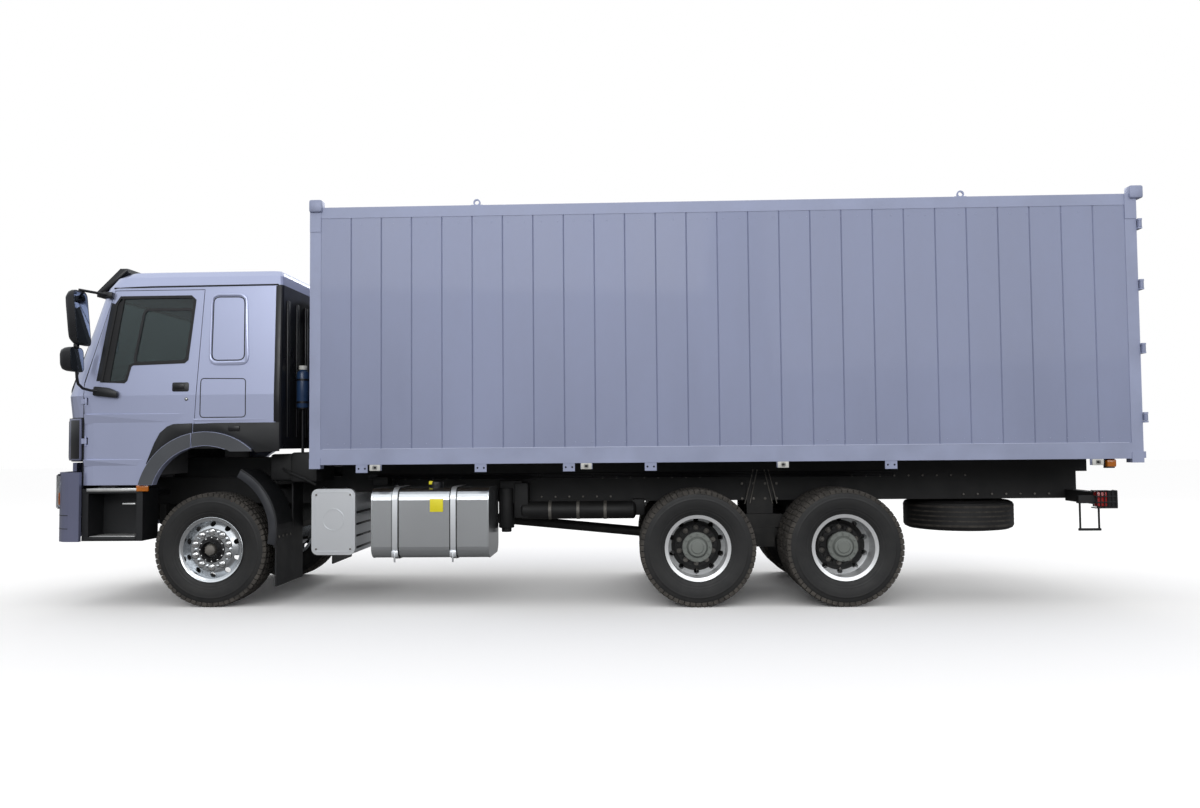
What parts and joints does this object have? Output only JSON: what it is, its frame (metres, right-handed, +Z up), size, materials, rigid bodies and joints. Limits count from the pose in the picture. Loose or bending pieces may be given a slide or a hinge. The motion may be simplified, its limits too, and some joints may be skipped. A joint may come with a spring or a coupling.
{
  "type": "three-axle box truck",
  "caption": "Box truck with a tilting sleeper cab, twin driven rear axles and a long plain box body with hinged rear doors.",
  "frame": {"origin": "on the ground, under the middle of the bounding box", "axes": "+Z up; the truck faces -X; its left side is at -Y"},
  "size_m": [10.305, 3.04, 3.836],
  "materials": {
    "frame_steel": "semi gloss",
    "suspension_steel": "satin",
    "body_paint": "gloss metallic",
    "box_paint": "semi gloss",
    "dark_trim": "textured",
    "black_trim": "satin",
    "engine_metal": "rough",
    "tank_metal": "satin",
    "cover_plastic": "satin",
    "tyre_rubber": "matte",
    "front_rim_metal": "polished",
    "rear_rim_metal": "satin silver",
    "window_glass": "clear",
    "lamp_lens": "clear",
    "seat_fabric": "woven",
    "floor_board": "phenolic ply"
  },
  "bodies": {
    "chassis": {"chassis_frame": "frame_steel", "front_axle": "suspension_steel", "rear_axles": "suspension_steel", "leaf_springs": "suspension_steel", "engine_block": "engine_metal", "propshaft": "suspension_steel", "fuel_tank": "tank_metal", "battery_box": "cover_plastic", "air_tanks": "frame_steel", "silencer": "tank_metal", "spare_wheel": "tyre_rubber", "rear_lamp_bars": "frame_steel", "bumper": "body_paint", "headlamps": "lamp_lens", "steps": "dark_trim", "mudguards": "dark_trim", "box_frame": "box_paint", "box_floor": "floor_board", "box_side_walls": "box_paint", "box_front_wall": "box_paint", "box_roof": "box_paint"},
    "cab": {"cab_floor": "dark_trim", "cab_front": "body_paint", "cab_sides": "body_paint", "cab_back_wall": "black_trim", "cab_roof": "body_paint", "windscreen": "window_glass", "sun_visor": "black_trim", "dashboard": "black_trim", "steering_wheel": "black_trim", "seats": "seat_fabric", "bunk": "seat_fabric"},
    "front_lid": {"front_lid": "black_trim"},
    "cab_door_left": {"cab_door_left": "body_paint", "door_glass_left": "window_glass", "mirrors_left": "black_trim"},
    "rear_door_left": {"rear_door_left": "box_paint"},
    "knuckle_left": {"knuckle_left": "suspension_steel"},
    "front_wheel_left": {"front_tyre_left": "tyre_rubber", "front_rim_left": "front_rim_metal"},
    "rear_wheels_1_left": {"rear_tyres_1_left": "tyre_rubber", "rear_rims_1_left": "rear_rim_metal"},
    "rear_wheels_2_left": {"rear_tyres_2_left": "tyre_rubber", "rear_rims_2_left": "rear_rim_metal"},
    "cab_door_right": {"cab_door_right": "body_paint", "door_glass_right": "window_glass", "mirrors_right": "black_trim"},
    "rear_door_right": {"rear_door_right": "box_paint"},
    "knuckle_right": {"knuckle_right": "suspension_steel"},
    "front_wheel_right": {"front_tyre_right": "tyre_rubber", "front_rim_right": "front_rim_metal"},
    "rear_wheels_1_right": {"rear_tyres_1_right": "tyre_rubber", "rear_rims_1_right": "rear_rim_metal"},
    "rear_wheels_2_right": {"rear_tyres_2_right": "tyre_rubber", "rear_rims_2_right": "rear_rim_metal"}
  },
  "joints": [
    {"name": "cab_tilt", "type": "hinge", "parent": "chassis", "child": "cab", "pos_m": [-4.9975, 0, 1.08], "axis": [0, -1, 0], "range_deg": [0, 55]},
    {"name": "front_lid_open", "type": "hinge", "parent": "cab", "child": "front_lid", "pos_m": [-5.1365, 0, 1.802], "axis": [0, 1, 0], "range_deg": [0, 75]},
    {"name": "cab_door_left_open", "type": "hinge", "parent": "cab", "child": "cab_door_left", "pos_m": [-4.7435, -1.195, 1.7], "axis": [0, 0, 1], "range_deg": [-70, 0]},
    {"name": "cab_door_right_open", "type": "hinge", "parent": "cab", "child": "cab_door_right", "pos_m": [-4.7435, 1.195, 1.7], "axis": [0, 0, -1], "range_deg": [-70, 0]},
    {"name": "rear_door_left_open", "type": "hinge", "parent": "chassis", "child": "rear_door_left", "pos_m": [5.1205, -1.264, 2.5], "axis": [0, 0, 1], "range_deg": [-265, 0]},
    {"name": "rear_door_right_open", "type": "hinge", "parent": "chassis", "child": "rear_door_right", "pos_m": [5.1205, 1.264, 2.5], "axis": [0, 0, -1], "range_deg": [-265, 0]},
    {"name": "steer_left", "type": "hinge", "parent": "chassis", "child": "knuckle_left", "pos_m": [-3.5475, -0.83, 0.54], "axis": [0, 0, 1], "range_deg": [-36, 36]},
    {"name": "steer_right", "type": "hinge", "parent": "chassis", "child": "knuckle_right", "pos_m": [-3.5475, 0.83, 0.54], "axis": [0, 0, 1], "range_deg": [-36, 36]},
    {"name": "front_wheel_left_spin", "type": "hinge", "parent": "knuckle_left", "child": "front_wheel_left", "pos_m": [-3.5475, -1.01, 0.54], "axis": [0, 1, 0], "continuous": true},
    {"name": "front_wheel_right_spin", "type": "hinge", "parent": "knuckle_right", "child": "front_wheel_right", "pos_m": [-3.5475, 1.01, 0.54], "axis": [0, 1, 0], "continuous": true},
    {"name": "rear_wheels_1_left_spin", "type": "hinge", "parent": "chassis", "child": "rear_wheels_1_left", "pos_m": [1.0525, -0.915, 0.54], "axis": [0, 1, 0], "continuous": true},
    {"name": "rear_wheels_1_right_spin", "type": "hinge", "parent": "chassis", "child": "rear_wheels_1_right", "pos_m": [1.0525, 0.915, 0.54], "axis": [0, 1, 0], "continuous": true},
    {"name": "rear_wheels_2_left_spin", "type": "hinge", "parent": "chassis", "child": "rear_wheels_2_left", "pos_m": [2.4025, -0.915, 0.54], "axis": [0, 1, 0], "continuous": true},
    {"name": "rear_wheels_2_right_spin", "type": "hinge", "parent": "chassis", "child": "rear_wheels_2_right", "pos_m": [2.4025, 0.915, 0.54], "axis": [0, 1, 0], "continuous": true}
  ],
  "couplings": [
    {"joint": "steer_right", "follows": "steer_left", "ratio": 1}
  ]
}
